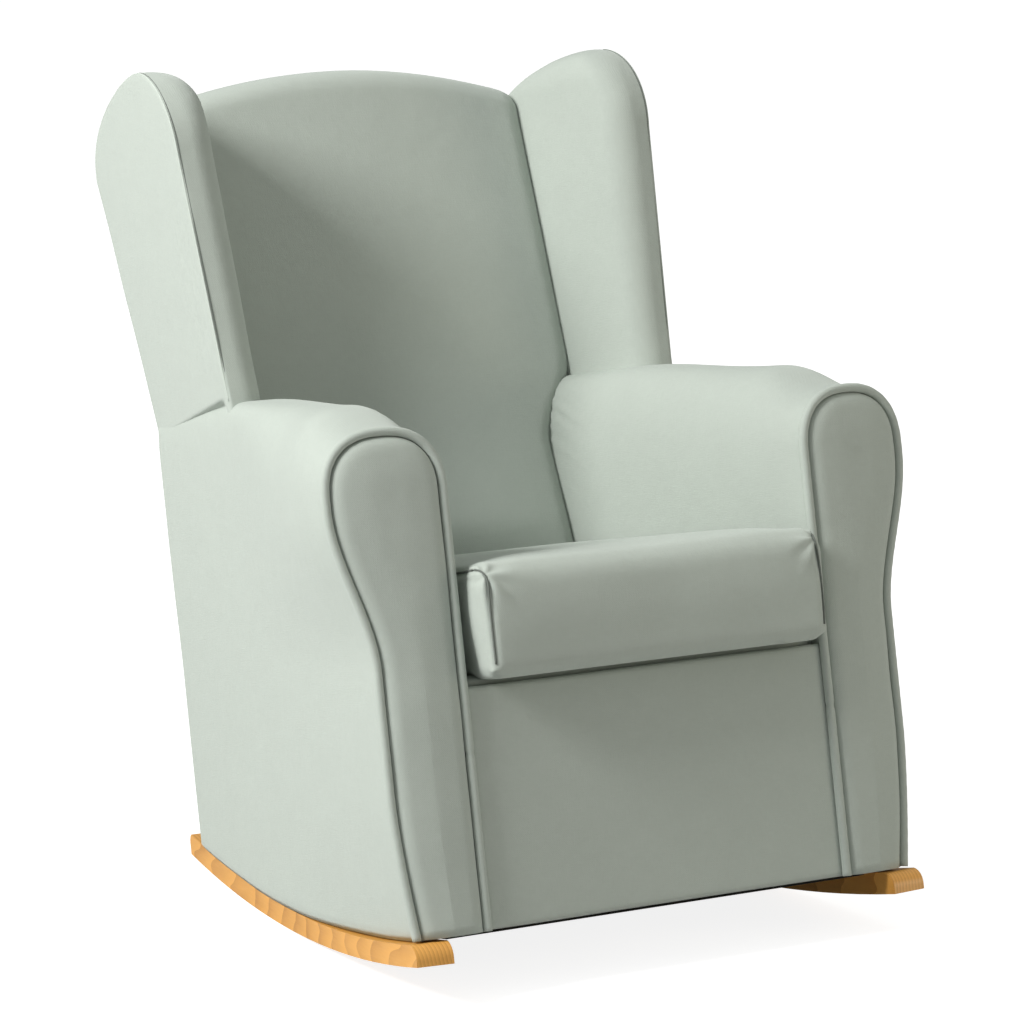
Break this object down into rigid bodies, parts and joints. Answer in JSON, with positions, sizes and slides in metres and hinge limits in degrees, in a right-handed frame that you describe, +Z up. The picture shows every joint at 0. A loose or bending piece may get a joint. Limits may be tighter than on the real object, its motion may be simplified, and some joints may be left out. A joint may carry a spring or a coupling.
{
  "type": "rocking chair",
  "caption": "Upholstered wing-back nursing rocking chair with rolled arms, piped facings, a loose box seat cushion and curved wooden rockers.",
  "frame": {"origin": "centre of the footprint on the floor, with the rockers standing on z = 0 at the chair's balance", "axes": "+X to the viewer's right when facing the chair's front, the sitter faces -Y, +Z up"},
  "size_m": [0.765, 0.902, 0.9625],
  "materials": {
    "sage_fabric": "matte",
    "deck_cloth": "matte",
    "dust_cloth": "matte",
    "webbing": "matte",
    "foam": "matte",
    "pine_rocker": "satin",
    "frame_timber": "matte",
    "zinc_steel": "satin",
    "spring_steel": "satin"
  },
  "bodies": {
    "chair": {"rocker_left": "pine_rocker", "rocker_right": "pine_rocker", "rocker_screws": "zinc_steel", "side_rail_left": "frame_timber", "side_rail_right": "frame_timber", "front_post_left": "frame_timber", "front_post_right": "frame_timber", "back_post_left": "frame_timber", "back_post_right": "frame_timber", "arm_rail_left": "frame_timber", "arm_rail_right": "frame_timber", "arm_front_board_left": "frame_timber", "arm_front_board_right": "frame_timber", "wing_board_left": "frame_timber", "wing_board_right": "frame_timber", "wing_screws": "zinc_steel", "front_seat_rail": "frame_timber", "rear_seat_rail": "frame_timber", "front_bottom_rail": "frame_timber", "rear_bottom_rail": "frame_timber", "back_top_rail": "frame_timber", "back_lower_rail": "frame_timber", "corner_blocks": "frame_timber", "crest_pad": "sage_fabric", "seat_springs": "spring_steel", "spring_clips": "spring_steel", "back_webbing": "webbing", "seat_deck": "deck_cloth", "apron_panel": "sage_fabric", "dust_cover": "dust_cloth", "outside_back_panel": "sage_fabric", "inside_back_pad": "sage_fabric", "inside_arm_pad_left": "sage_fabric", "inside_arm_pad_right": "sage_fabric", "arm_roll_left": "sage_fabric", "arm_roll_right": "sage_fabric", "outside_arm_panel_left": "sage_fabric", "outside_arm_panel_right": "sage_fabric", "wing_pad_left": "sage_fabric", "wing_pad_right": "sage_fabric", "outside_wing_panel_left": "sage_fabric", "outside_wing_panel_right": "sage_fabric", "arm_facing_left": "sage_fabric", "arm_facing_right": "sage_fabric", "arm_piping_left": "sage_fabric", "arm_piping_right": "sage_fabric"},
    "cushion": {"seat_cushion": "sage_fabric", "cushion_core": "foam", "cushion_zip": "sage_fabric"},
    "zip_slider": {"zip_slider": "zinc_steel"}
  },
  "joints": [
    {"name": "cushion_lift", "type": "slide", "parent": "chair", "child": "cushion", "axis": [0, 0, 1], "range_m": [0, 0.3]},
    {"name": "zip_close", "type": "slide", "parent": "cushion", "child": "zip_slider", "axis": [1, 0, 0], "range_m": [0, 0.27]}
  ]
}
